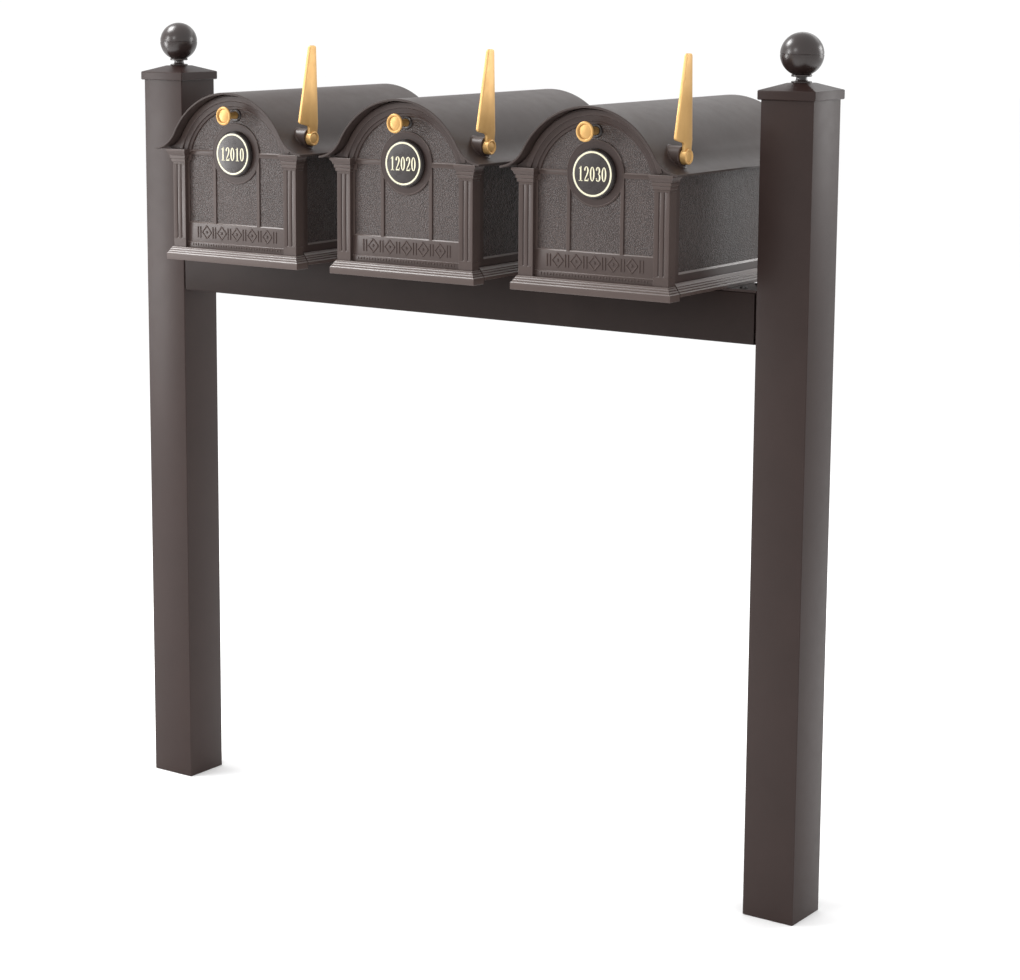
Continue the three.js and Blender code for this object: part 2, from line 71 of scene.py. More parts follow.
def size_of(node):
    """A node's lowest and highest corner in millimetres."""
    low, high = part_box(node)
    return low / MM, high / MM


def corner_of(box):
    """Where a mailbox's own frame stands: under the middle of its door's front edge."""
    low, high = size_of(f"{box}_door")
    return Vector(((low.x + high.x) / 2, low.y, low.z))


def local_size(node):
    """The corners of a left mailbox's node, in that mailbox's own frame. The other two are alike."""
    corner = corner_of("left")
    low, high = size_of(node)
    return low - corner, high - corner


DOOR_HIGH = local_size("left_door")[1]
FLOOR_LOW, FLOOR_HIGH = local_size("left_box_floor")
ROOF_LOW, ROOF_HIGH = local_size("left_box_roof")
WALL_LOW, WALL_HIGH = local_size("left_box_right_wall")
REAR_LOW, REAR_HIGH = local_size("left_box_rear_wall")
FLAG_LOW, FLAG_HIGH = local_size("left_flag")
STANDOFF_LOW, STANDOFF_HIGH = local_size("left_flag_standoff")
PLAQUE_LOW, PLAQUE_HIGH = local_size("left_number_plaque")
KNOB_LOW, KNOB_HIGH = local_size("left_door_knob")
PLATE_LOW, PLATE_HIGH = local_size("left_mounting_plate")

# ---- Mailbox dimensions ----

BASE_HALF = 163.8
DOOR_BACK = DOOR_HIGH.y
PANEL_FACE = 22
BEATEN_FACE = 20.6  # the panels' hammered skins
PANEL_BACK = 26
BEDDED = 24.5  # raised parts end inside the panels' slab
FRAME_FACE = 18.5
PILASTER_FACE = 10.7
PILASTER_INNER = 123
PILASTER_OUTER = 153.7
FLUTE_OFFSET = 5
FLUTE_RADIUS = 1.2
RIM_INNER = 142  # the door's back is hollow inside this
CAPITAL_TOP = 216
HEAD_FOOT = CAPITAL_TOP - 0.8  # the door's head starts inside the capitals
BAND_FOOT = 24
BAND_TOP = 75.5
LOWER_BAND_TOP = 37
DIVIDER_OFFSET = 54.6
DIVIDER_HALF = 3.8
SEAT_RADIUS = 58.5

ARCH_RADIUS = 152.4
ARCH_CENTRE = ROOF_HIGH.z - ARCH_RADIUS
ARCH_TURN = math.radians(61)
EAVE_RADIUS = 62.7
EAVE_SLOPE = math.radians(6)
EAVE_X = (ARCH_RADIUS + EAVE_RADIUS) * math.sin(ARCH_TURN)
EAVE_Z = ARCH_CENTRE + (ARCH_RADIUS + EAVE_RADIUS) * math.cos(ARCH_TURN)
ROOF_WALL = 4
RUNNING_GAP = 1.5

HINGE_Y = 28
HINGE_Z = 5
LUG_OFFSET = 128
LUG_HALF = 7
LUG_RADIUS = 4.5
LUG_POCKET_HALF = 8
LUG_POCKET_FRONT = 22
LUG_POCKET_TOP = 15

WALL = 4
PLAQUE_Z = (PLAQUE_LOW.z + PLAQUE_HIGH.z) / 2
KNOB_Z = (KNOB_LOW.z + KNOB_HIGH.z) / 2
STANDOFF_RADIUS = (STANDOFF_HIGH.y - STANDOFF_LOW.y) / 2
FLAG_Y = (STANDOFF_LOW.y + STANDOFF_HIGH.y) / 2
HUB_RADIUS = 13.5
FLAG_Z = FLAG_LOW.z + HUB_RADIUS

# ---- Materials ----


def node_material(name):
    """A new node material and its Principled shader."""
    made = bpy.data.materials.new(name)
    made.use_nodes = True
    return made, made.node_tree.nodes["Principled BSDF"]


class Wiring:
    """Short calls for making and joining the nodes of one material."""

    def __init__(self, material):
        self.tree = material.node_tree
        place = self.add("ShaderNodeTexCoord")
        self.place = place.outputs["Object"]

    def add(self, kind, **settings):
        node = self.tree.nodes.new(kind)
        for key, value in settings.items():
            setattr(node, key, value)
        return node

    def join(self, source, target):
        self.tree.links.new(source, target)

    def noise(self, scale, detail):
        node = self.add("ShaderNodeTexNoise")
        node.inputs["Scale"].default_value = scale
        node.inputs["Detail"].default_value = detail
        node.inputs["Roughness"].default_value = 0.6
        self.join(self.place, node.inputs["Vector"])
        return node.outputs["Fac"]

    def cells(self, scale):
        node = self.add("ShaderNodeTexVoronoi", feature="SMOOTH_F1")
        node.inputs["Scale"].default_value = scale
        node.inputs["Smoothness"].default_value = 0.6
        node.inputs["Randomness"].default_value = 1.0
        self.join(self.place, node.inputs["Vector"])
        return node.outputs["Distance"]

    def ramp(self, source, low, high, start=0.3, end=0.7):
        """Maps source from start..end to low..high, which are two numbers or two colours."""
        node = self.add("ShaderNodeMapRange" if isinstance(low, float) else "ShaderNodeValToRGB")
        if isinstance(low, float):
            node.inputs["From Min"].default_value = start
            node.inputs["From Max"].default_value = end
            node.inputs["To Min"].default_value = low
            node.inputs["To Max"].default_value = high
            self.join(source, node.inputs["Value"])
            return node.outputs["Result"]
        first, last = node.color_ramp.elements
        first.position, last.position = start, end
        first.color, last.color = (*low, 1), (*high, 1)
        self.join(source, node.inputs["Fac"])
        return node.outputs["Color"]

    def painted_highlight(self, colour, edge, amount):
        """Lets the edge colour show where the surface turns sharply outwards: partly edge wear, partly a
        painted highlight along the edges.
        """
        geometry = self.add("ShaderNodeNewGeometry")
        strength = self.ramp(geometry.outputs["Pointiness"], 0.0, amount, 0.52, 0.6)
        mix = self.add("ShaderNodeMix", data_type="RGBA")
        self.join(strength, mix.inputs["Factor"])
        self.join(colour, mix.inputs["A"])
        mix.inputs["B"].default_value = (*edge, 1)
        return mix.outputs["Result"]

    def bump(self, height, distance, before=None):
        """Raises the surface by distance, in metres, on top of the bump before it."""
        node = self.add("ShaderNodeBump")
        node.inputs["Strength"].default_value = 1.0
        node.inputs["Distance"].default_value = distance
        self.join(height, node.inputs["Height"])
        if before is not None:
            self.join(before, node.inputs["Normal"])
        return node.outputs["Normal"]

    def uneven_gloss(self, shader, scale, detail, smoothest, roughest):
        """Lets the roughness wander over the surface."""
        roughness = self.ramp(self.noise(scale, detail), smoothest, roughest)
        self.join(roughness, shader.inputs["Roughness"])


def coated(name, dark, light, edge, roughness, gloss, hammer=0.0):
    """A satin powder coat: a slightly uneven colour, a fine orange peel, and a lighter edge colour on sharp
    edges that is partly edge wear and partly painted highlight. With hammer, beaten dimples whose middles are
    painted lighter and whose rims are painted darker, a painted highlight and shade.
    """
    made, shader = node_material(name)
    wires = Wiring(made)
    colour = wires.ramp(wires.noise(9, 6), dark, light)
    # Sharp outward edges take the edge colour: partly edge wear, partly painted highlight.
    colour = wires.painted_highlight(colour, edge, 0.35)
    wires.join(colour, shader.inputs["Base Color"])
    wires.uneven_gloss(shader, 38, 5, roughness - 0.025, roughness + 0.025)
    normal = wires.bump(wires.noise(620, 3), 0.000015)
    if hammer:
        # The beaten cells' middles are painted up to 1.5 times lighter and their rims down to 0.6 times:
        # painted highlight and shade.
        cells = wires.cells(400)
        dimple_light = wires.ramp(cells, (1.5, 1.5, 1.5), (0.6, 0.6, 0.6), 0.15, 0.6)
        dimple_light_mix = wires.add("ShaderNodeMix", data_type="RGBA", blend_type="MULTIPLY")
        dimple_light_mix.inputs["Factor"].default_value = 1
        wires.join(colour, dimple_light_mix.inputs["A"])
        wires.join(dimple_light, dimple_light_mix.inputs["B"])
        wires.join(dimple_light_mix.outputs["Result"], shader.inputs["Base Color"])
        normal = wires.bump(cells, hammer, before=normal)
        normal = wires.bump(wires.noise(480, 2), hammer, before=normal)
    wires.join(normal, shader.inputs["Normal"])
    shader.inputs["Specular IOR Level"].default_value = gloss
    return made


def metal(name, dark, light, roughness, metallic=1.0):
    """Bare or gilt metal with a faint cast grain."""
    made, shader = node_material(name)
    wires = Wiring(made)
    wires.join(wires.ramp(wires.noise(26, 5), dark, light), shader.inputs["Base Color"])
    wires.uneven_gloss(shader, 70, 5, roughness - 0.05, roughness + 0.07)
    wires.join(wires.bump(wires.noise(520, 4), 0.00003), shader.inputs["Normal"])
    shader.inputs["Metallic"].default_value = metallic
    return made


def enamel(name, dark, light, roughness):
    """Thick paint with a soft gloss."""
    made, shader = node_material(name)
    wires = Wiring(made)
    wires.join(wires.ramp(wires.noise(60, 4), dark, light), shader.inputs["Base Color"])
    wires.uneven_gloss(shader, 110, 4, roughness - 0.05, roughness + 0.05)
    wires.join(wires.bump(wires.noise(400, 2), 0.00004), shader.inputs["Normal"])
    return made


# Each coat's edge colour is partly edge wear and partly a painted highlight on sharp outward edges.
POST_COAT = coated(
    "post_powder_coat",
    dark=(0.019, 0.0100, 0.0086),
    light=(0.025, 0.0135, 0.0118),
    edge=(0.045, 0.033, 0.030),
    roughness=0.36,
    gloss=0.17,
)
# A darker, less glossy copy of the post coat: painted shade for the beam under the mailboxes.
SHADED_BEAM_COAT = coated(
    "beam_powder_coat_painted_shade",
    dark=(0.009, 0.0050, 0.0042),
    light=(0.013, 0.0072, 0.0062),
    edge=(0.03, 0.022, 0.020),
    roughness=0.38,
    gloss=0.09,
)
FINIAL_COAT = coated(
    "finial_powder_coat",
    dark=(0.017, 0.0100, 0.0090),
    light=(0.022, 0.0135, 0.0120),
    edge=(0.05, 0.04, 0.037),
    roughness=0.29,
    gloss=0.6,
)
# The roof has its own gloss and roughness; its colour, a little darker than the casting's, is painted shade.
ROOF_COAT = coated(
    "roof_powder_coat",
    dark=(0.029, 0.0195, 0.0170),
    light=(0.036, 0.0245, 0.0215),
    edge=(0.06, 0.048, 0.044),
    roughness=0.43,
    gloss=0.24,
)
CASTING = coated(
    "cast_bronze_smooth",
    dark=(0.032, 0.0205, 0.0180),
    light=(0.041, 0.0265, 0.0232),
    edge=(0.12, 0.09, 0.08),
    roughness=0.35,
    gloss=0.26,
)
# A much lighter, glossier copy of the casting for narrow faces that lean up: a painted highlight where the
# top light catches the ledges.
PAINTED_LEDGE_HIGHLIGHT = coated(
    "cast_bronze_painted_ledge_highlight",
    dark=(0.085, 0.064, 0.057),
    light=(0.115, 0.088, 0.078),
    edge=(0.20, 0.17, 0.16),
    roughness=0.32,
    gloss=0.5,
)
HAMMERED = coated(
    "cast_bronze_hammered",
    dark=(0.036, 0.0235, 0.0205),
    light=(0.046, 0.0305, 0.0268),
    edge=(0.12, 0.09, 0.08),
    roughness=0.33,
    gloss=0.34,
    hammer=0.0008,
)
# A darker copy of the hammered casting for the walls: painted shade under the eaves.
SHADED_HAMMERED_WALL = coated(
    "cast_bronze_hammered_painted_shade",
    dark=(0.028, 0.0183, 0.0160),
    light=(0.036, 0.0240, 0.0210),
    edge=(0.10, 0.075, 0.067),
    roughness=0.36,
    gloss=0.24,
    hammer=0.0008,
)
BRASS = metal("gilt_brass", (0.60, 0.355, 0.125), (0.68, 0.42, 0.16), 0.44, 0.5)
# A darker copy of the gilt brass for the knob: painted shade that holds down its brightness.
KNOB_BRASS = metal("gilt_brass_knob", (0.45, 0.255, 0.082), (0.52, 0.31, 0.108), 0.40, 0.55)
DARK_STEEL = metal("dark_zinc_plate", (0.09, 0.085, 0.085), (0.14, 0.13, 0.13), 0.4, 0.8)
ZINC = metal("zinc_plate", (0.42, 0.42, 0.44), (0.55, 0.55, 0.57), 0.38)
PLAQUE_BLACK = enamel("plaque_black", (0.014, 0.0095, 0.0088), (0.018, 0.0125, 0.0118), 0.30)
PLAQUE_IVORY = enamel("plaque_ivory", (0.64, 0.60, 0.42), (0.72, 0.68, 0.50), 0.42)

# ---- Shells: closed surfaces that make up a piece ----


def close_loops(loops, closed=False):
    """A shell through rings of equal length. Its ends are capped, or joined to each other when closed."""
    shell = bmesh.new()
    rings = [[shell.verts.new(point) for point in loop] for loop in loops]
    count = len(rings[0])
    pairs = list(zip(rings, rings[1:]))
    if closed:
        pairs.append((rings[-1], rings[0]))
    for low, high in pairs:
        for i in range(count):
            j = (i + 1) % count
            shell.faces.new((low[i], low[j], high[j], high[i]))
    if not closed:
        shell.faces.new(list(reversed(rings[0])))
        shell.faces.new(rings[-1])
    bmesh.ops.remove_doubles(shell, verts=shell.verts, dist=1e-5)
    bmesh.ops.recalc_face_normals(shell, faces=shell.faces)
    return shell


def rounded(shell, width, segments=2, least_angle=40):
    """Rounds the shell's sharp edges."""
    sharp = [
        edge
        for edge in shell.edges
        if len(edge.link_faces) == 2 and edge.calc_face_angle() > math.radians(least_angle)
    ]
    bmesh.ops.bevel(
        shell, geom=sharp, offset=width, segments=segments, profile=0.5, affect="EDGES", clamp_overlap=True
    )
    return shell


def rectangle(x0, x1, y0, y1, z):
    """A level rectangle's corners."""
    return [(x0, y0, z), (x1, y0, z), (x1, y1, z), (x0, y1, z)]


def block(x0, x1, y0, y1, z0, z1, edge):
    """A box with rounded edges."""
    rings = [rectangle(x0, x1, y0, y1, z) for z in (z0, z1)]
    return rounded(close_loops(rings), edge)


def stack(levels, edge):
    """Rectangles over each other, joined by sloping sides, from (z, x0, x1, y0, y1)."""
    rings = [rectangle(x0, x1, y0, y1, z) for z, x0, x1, y0, y1 in levels]
    return rounded(close_loops(rings), edge, 1, 25)


def on_axis(axis, a, b, along):
    """The point that lies along the axis by that much, and a and b across it."""
    points = {"x": (along, a, b), "y": (a, along, b), "z": (a, b, along)}
    return points[axis]


def prism(outline, axis, start, end, edge, least_angle=40):
    """An outline drawn across the axis and drawn out from start to end, with rounded edges."""
    rings = [[on_axis(axis, a, b, along) for a, b in outline] for along in (start, end)]
    shell = close_loops(rings)
    return rounded(shell, edge, 2, least_angle) if edge else shell


def turned(profile, axis, centre, segments=48, start=0.0, end=math.tau):
    """Turns (radius, distance along the axis) pairs about an axis through centre."""
    whole = abs(end - start - math.tau) < 1e-6
    steps = segments if whole else segments + 1
    loops = []
    for i in range(steps):
        angle = start + (end - start) * i / segments
        ring = [on_axis(axis, r * math.cos(angle), r * math.sin(angle), along) for r, along in profile]
        loops.append([Vector(centre) + Vector(point) for point in ring])
    return close_loops(loops, closed=whole)


def sheet(point_at, across, along):
    """An open surface from point_at(u, v), with u and v from 0 to 1."""
    shell = bmesh.new()
    rows = []
    for j in range(along + 1):
        rows.append([shell.verts.new(point_at(i / across, j / along)) for i in range(across + 1)])
    for low, high in zip(rows, rows[1:]):
        for i in range(across):
            shell.faces.new((low[i], low[i + 1], high[i + 1], high[i]))
    return shell


def dome(x, y, z, radius, height, rings=3, sides=8):
    """A small raised bead on a face that looks forward."""
    angles = [math.pi / 2 * i / rings for i in range(rings)]
    profile = [(radius * math.cos(angle), -height * math.sin(angle)) for angle in angles]
    return turned([(0, 0.2), (radius, 0.2), *profile, (0, -height)], "y", (x, y, z), sides)


def arc(cx, cz, radius, start, end, steps):
    """Points of an arc, its angles in degrees."""
    angles = [math.radians(start + (end - start) * i / steps) for i in range(steps + 1)]
    return [(cx + radius * math.cos(angle), cz + radius * math.sin(angle)) for angle in angles]


class Piece:
    """Gathers shells with their materials, and makes one object of them."""

    def __init__(self):
        self.mesh = bmesh.new()
        self.materials = []

    def index_of(self, material):
        if material not in self.materials:
            self.materials.append(material)
        return self.materials.index(material)

    def add(self, shell, material, ledge_highlight=None):
        """Adds a shell. Its narrow faces that lean back and up take the painted ledge highlight material, if
        one is given.
        """
        index = self.index_of(material)
        for face in shell.faces:
            face.material_index = index
        if ledge_highlight is not None:
            painted_highlight = self.index_of(ledge_highlight)
            shell.normal_update()
            for face in shell.faces:
                if 0.3 < face.normal.z < 0.93:
                    face.material_index = painted_highlight
        gathered = bpy.data.meshes.new("shell")
        shell.to_mesh(gathered)
        shell.free()
        self.mesh.from_mesh(gathered)
        bpy.data.meshes.remove(gathered)
        return self

    def turn(self, matrix):
        bmesh.ops.transform(self.mesh, matrix=matrix, verts=self.mesh.verts)
        return self

    def place(self, name, origin, body, *nodes, smooth=22):
        """Makes the object at origin, which is in millimetres. It rides on body and stands for the nodes."""
        self.turn(Matrix.Scale(MM, 4) @ Matrix.Translation(origin))
        data = bpy.data.meshes.new(name)
        self.mesh.to_mesh(data)
        self.mesh.free()
        for material in self.materials:
            data.materials.append(material)
        data.shade_smooth()
        data.set_sharp_from_angle(angle=math.radians(smooth))
        made = bpy.data.objects.new(name, data)
        bpy.context.scene.collection.objects.link(made)
        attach(made, body)
        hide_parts(*nodes)
        return made


# ---- Posts ----

TUBE_WALL = 3.2
TUBE_CORNER = 2.2
CAP_OVERHANG = 5
CAP_RIM = 17


def rounded_square(half, radius, steps=3, depth=None):
    """A rectangle's outline with rounded corners, half wide and depth (or half) deep each way."""
    depth = half if depth is None else depth
    outline = []
    for turn, (sx, sy) in enumerate(((1, 1), (-1, 1), (-1, -1), (1, -1))):
        corner = (sx * (half - radius), sy * (depth - radius))
        outline += arc(*corner, radius, 90 * turn, 90 * turn + 90, steps)
    return outline


def post(side):
    low, high = size_of(f"{side}_post")
    half = (high.x - low.x) / 2
    middle = Vector(((low.x + high.x) / 2, (low.y + high.y) / 2, 0))
    outer = rounded_square(half, TUBE_CORNER)
    inner = rounded_square(half - TUBE_WALL, 1)
    rim = rounded_square(half - 0.7, 1.8)
    top = high.z
    levels = ((inner, 0), (rim, 0), (outer, 0.7), (outer, top), (inner, top))
    rings = [[(x, y, z) for x, y in outline] for outline, z in levels]
    made = Piece().add(close_loops(rings, closed=True), POST_COAT)
    made.place(f"{side}_post_tube", middle, "stand", f"{side}_post")


def post_cap(side):
    """A cast cap: a plug in the tube, a rim with a drip edge, and a low pyramid with a small flat."""
    low, high = size_of(f"{side}_post_cap")
    tube_top = size_of(f"{side}_post")[1].z
    rim = (high.x - low.x) / 2
    middle = Vector(((low.x + high.x) / 2, (low.y + high.y) / 2, 0))
    plug = rim - CAP_OVERHANG - TUBE_WALL - 1
    rim_top = tube_top + CAP_RIM
    levels = (
        (plug - 4, 1, low.z),
        (plug, 1, low.z),
        (plug, 1, tube_top + 0.3),
        (rim - 1.4, 1.5, tube_top + 0.3),
        (rim, 2.2, tube_top + 1.7),
        (rim, 2.2, rim_top - 1.6),
        (rim - 0.5, 2.4, rim_top - 0.4),
        (rim - 1.8, 2.2, rim_top + 0.2),
        (19.8, 1.5, high.z - 0.3),
        (18.6, 1.5, high.z),
    )
    rings = [[(x, y, z) for x, y in rounded_square(half, radius)] for half, radius, z in levels]
    Piece().add(close_loops(rings), POST_COAT).place(f"{side}_cap", middle, "stand", f"{side}_post_cap")


def finial(side):
    """A turned seat with a waist and two discs, and the ball with its seam."""
    low, high = size_of(f"{side}_finial_base")
    middle = Vector(((low.x + high.x) / 2, (low.y + high.y) / 2, low.z))
    profile = [(0, 0), (17.4, 0), (18, 0.5), (18, 1.8), (17, 2.5), *arc(18.5, 8.2, 9, 215, 145, 8)]
    profile += [(12, 10), (17.3, 10.2), (18, 10.9), (18, 13.2), (17.3, 14), (0, 14)]
    seat = Piece().add(turned(profile, "z", (0, 0, 0)), FINIAL_COAT)
    seat.place(f"{side}_finial_seat", middle, "stand", f"{side}_finial_base")

    low, high = size_of(f"{side}_finial_ball")
    radius = (high.x - low.x) / 2
    centre = Vector(((low.x + high.x) / 2, (low.y + high.y) / 2, high.z - radius))
    foot = math.degrees(math.asin((low.z - centre.z) / radius))
    seam = 1.6
    outline = [(0, low.z - centre.z), *arc(0, 0, radius, foot, -seam, 20)]
    outline += [(radius - 0.7, -0.7), (radius - 0.7, 0.3), *arc(0, 0, radius - 0.1, seam, 90, 24)]
    ball = Piece().add(turned(outline, "z", (0, 0, 0), 64), FINIAL_COAT)
    ball.place(f"{side}_ball", centre, "stand", f"{side}_finial_ball")


# ---- Beam ----

SCREW_RADIUS = 7
SCREW_HEIGHT = 3.5
SCREW_SEAT = 3.6  # from a screw's or the bolt's outermost point
SHANK_RADIUS = 4


def beam():
    low, high = size_of("beam")
    half = (high.y - low.y) / 2
    depth = (high.z - low.z) / 2
    middle = Vector((0, (low.y + high.y) / 2, (low.z + high.z) / 2))
    outer = rounded_square(half, 2.4, depth=depth)
    inner = rounded_square(half - TUBE_WALL, 1, depth=depth - TUBE_WALL)
    levels = ((inner, low.x), (outer, low.x), (outer, high.x), (inner, high.x))
    rings = [[(x, y, z) for y, z in outline] for outline, x in levels]
    # The beam takes the darker copy of the post coat: painted shade.
    Piece().add(close_loops(rings, closed=True), SHADED_BEAM_COAT).place("beam_tube", middle, "stand", "beam")


def screw_head(piece, material, up=1):
    """A pan head on z = 0 whose cross recess is drawn as two black blocks, painted shade. With up at -1 it
    hangs below.
    """
    radius = SCREW_RADIUS
    height = SCREW_HEIGHT
    side = [(radius, 0), (radius, height * 0.35), (radius * 0.82, height * 0.8)]
    head = turned([(0, 0), *side, (radius * 0.45, height), (0, height)], "z", (0, 0, 0), 28)
    bmesh.ops.scale(head, vec=(1, 1, up), verts=head.verts)
    bmesh.ops.recalc_face_normals(head, faces=head.faces)
    piece.add(head, material)
    reach = radius * 0.5
    # Two black blocks cross the head's top: painted shade for the recess.
    for turn in (20, 110):
        recess_shade = block(-reach, reach, -0.7, 0.7, height * 0.7 * up, (height + 0.05) * up, 0.1)
        bmesh.ops.rotate(recess_shade, matrix=Matrix.Rotation(math.radians(turn), 3, "Z"), verts=recess_shade.verts)
        piece.add(recess_shade, PLAQUE_BLACK)
    return piece


def shank(start, end):
    """A screw's shank on the z axis."""
    profile = [(0, start), (SHANK_RADIUS, start), (SHANK_RADIUS, end), (0, end)]
    return turned(profile, "z", (0, 0, 0), 20)


def fasteners(side):
    """The two screws in a bracket's flange and the bolt under the beam, each with its shank."""
    for place in ("front", "rear"):
        node = f"{side}_bracket_{place}_screw"
        low, high = size_of(node)
        seat = Vector(((low.x + high.x) / 2, (low.y + high.y) / 2, high.z - SCREW_SEAT))
        made = Piece().add(shank(low.z - seat.z, 0.2), DARK_STEEL)
        screw_head(made, DARK_STEEL).place(f"{side}_{place}_screw", seat, "stand", node)
    node = f"{side}_beam_bolt"
    low, high = size_of(node)
    seat = Vector(((low.x + high.x) / 2, (low.y + high.y) / 2, low.z + SCREW_SEAT))
    made = Piece().add(shank(-0.2, high.z - seat.z), POST_COAT)
    screw_head(made, POST_COAT, up=-1).place(f"{side}_under_bolt", seat, "stand", node)


# ---- Mailbox roof ----


def roof_outline(inset, arch_steps=40, eave_steps=12):
    """The roof's section moved inwards by inset, from the left eave to the right one."""
    right = []
    for i in range(arch_steps + 1):
        angle = ARCH_TURN * i / arch_steps
        radius = ARCH_RADIUS - inset
        right.append((radius * math.sin(angle), ARCH_CENTRE + radius * math.cos(angle)))
    for i in range(1, eave_steps + 1):
        slope = ARCH_TURN + (EAVE_SLOPE - ARCH_TURN) * i / eave_steps
        radius = EAVE_RADIUS + inset
        right.append((EAVE_X - radius * math.sin(slope), EAVE_Z - radius * math.cos(slope)))
    return [(-x, z) for x, z in reversed(right[1:])] + right


def roof_height(x, inset):
    """How high the section, moved inwards by inset, stands at x."""
    if abs(x) > (ARCH_RADIUS - inset) * math.sin(ARCH_TURN):
        return EAVE_Z - math.sqrt((EAVE_RADIUS + inset) ** 2 - (EAVE_X - abs(x)) ** 2)
    return ARCH_CENTRE + math.sqrt((ARCH_RADIUS - inset) ** 2 - x**2)


def roof_flank(z):
    """Where the roof's outer face stands, to the right, at height z."""
    if z > ARCH_CENTRE + ARCH_RADIUS * math.cos(ARCH_TURN):
        return math.sqrt(ARCH_RADIUS**2 - (z - ARCH_CENTRE) ** 2)
    return EAVE_X - math.sqrt(EAVE_RADIUS**2 - (EAVE_Z - z) ** 2)


def under_roof(half, bottom, inset, margin=0.5):
    """An outline that fills the roof's section down to bottom, half wide."""
    curve = [(x, z) for x, z in roof_outline(inset) if abs(x) < half - margin]
    shoulder = roof_height(half, inset)
    return [(-half, bottom), (-half, shoulder), *curve, (half, shoulder), (half, bottom)]


def roof(box, corner):
    section = roof_outline(0) + list(reversed(roof_outline(ROOF_WALL)))
    shell = prism(section, "y", ROOF_LOW.y, ROOF_HIGH.y, edge=1.1, least_angle=50)
    Piece().add(shell, ROOF_COAT).place(f"{box}_roof_shell", corner, "stand", f"{box}_box_roof")


# ---- Mailbox body ----

PANEL_FOOT = 46


def hammered_sheet(point_at, across, along, depth=0.3):
    """A sheet whose surface is beaten: point_at gives the place and push the direction outwards."""

    def beaten(u, v):
        point, push = point_at(u, v)
        place = Vector(point)
        edge = min(1, 12 * min(u, 1 - u, v, 1 - v))
        return place + Vector(push) * depth * edge * noise.noise(place * 0.13)

    return sheet(beaten, across, along)


def base_profile():
    """The base moulding as (height, distance in from its widest): a fascia, then three slopes with risers."""
    return (
        (12.0, 0.0),
        (12.2, 0.2),
        (13.9, 2.3),
        (15.8, 2.4),
        (16.1, 2.9),
        (17.9, 4.9),
        (19.8, 5.0),
        (20.1, 5.5),
        (21.9, 7.5),
        (23.6, 7.6),
        (25.0, 9.4),
    )


def hinge_lug(made, middle, body_front):
    """A round lug about the hinge's axis, and the arm that joins it to the floor."""
    rim = LUG_HALF - 0.4
    small = LUG_RADIUS - 0.1
    bore = 2.8
    profile = [
        (bore, -LUG_HALF),
        (small, -LUG_HALF),
        (LUG_RADIUS, -rim),
        (LUG_RADIUS, rim),
        (small, LUG_HALF),
        (bore, LUG_HALF),
    ]
    made.add(turned(profile, "x", (middle, HINGE_Y, HINGE_Z), 24), CASTING)
    x0 = middle - LUG_HALF
    x1 = middle + LUG_HALF
    made.add(block(x0, x1, HINGE_Y + 3.5, body_front + 6, HINGE_Z - 3, 11, 0.5), CASTING)


def box_floor(box, corner):
    """The base casting: deck, moulding round three sides, and the hinge lugs."""
    front = FLOOR_LOW.y + 7.5
    body_front = 35.5
    rear = FLOOR_HIGH.y
    made = Piece()
    levels = [(6.5, -BASE_HALF, BASE_HALF, body_front, rear)]
    for z, inward in base_profile():
        levels.append((z, -BASE_HALF + inward, BASE_HALF - inward, body_front, rear - inward))
    made.add(stack([*levels, (29, -152, 152, body_front, rear - 12)], 0.12), CASTING, PAINTED_LEDGE_HIGHLIGHT)
    for side in (-1, 1):
        hinge_lug(made, side * LUG_OFFSET, body_front)
    made.add(block(-150, 150, front, body_front + 4, 6.6, 12.4, 0.5), CASTING)
    made.place(f"{box}_floor_casting", corner, "stand", f"{box}_box_floor")


def side_wall(box, side, corner):
    """A wall with a raised border, a sloping ledge round the sunk panel, and the hammered panel in a darker
    copy of the hammered casting: painted shade.
    """
    outer = WALL_HIGH.x
    front, rear = WALL_LOW.y, WALL_HIGH.y
    bottom, top = WALL_LOW.z, WALL_HIGH.z
    y0, y1 = front + 18, rear - 16
    z0, z1 = PANEL_FOOT, top - 12
    sink = 2.6
    slope = 2.2

    def opening(x, grow):
        foot = z0 - grow * 1.6
        head = z1 + grow
        return [(x, y0 - grow, foot), (x, y1 + grow, foot), (x, y1 + grow, head), (x, y0 - grow, head)]

    edge = [(outer, front, bottom), (outer, rear, bottom), (outer, rear, top), (outer, front, top)]
    back = [(x - WALL, y, z) for x, y, z in edge]
    loops = [back, edge, opening(outer, slope), opening(outer - sink, 0)]
    made = Piece()
    made.add(rounded(close_loops(loops), 0.4, 2, 30), CASTING, PAINTED_LEDGE_HIGHLIGHT)

    def panel(u, v):
        return (outer - sink + 0.15, y0 + (y1 - y0) * u, z0 + (z1 - z0) * v), (1, 0, 0)

    made.add(hammered_sheet(panel, 170, 64), SHADED_HAMMERED_WALL)
    node = f"{box}_box_right_wall"
    if side < 0:
        made.turn(Matrix.Translation((0, front + rear, 0)) @ Matrix.Rotation(math.pi, 4, "Z"))
        node = f"{box}_box_left_wall"
    made.place(node.replace("_box_", "_cast_"), corner, "stand", node)


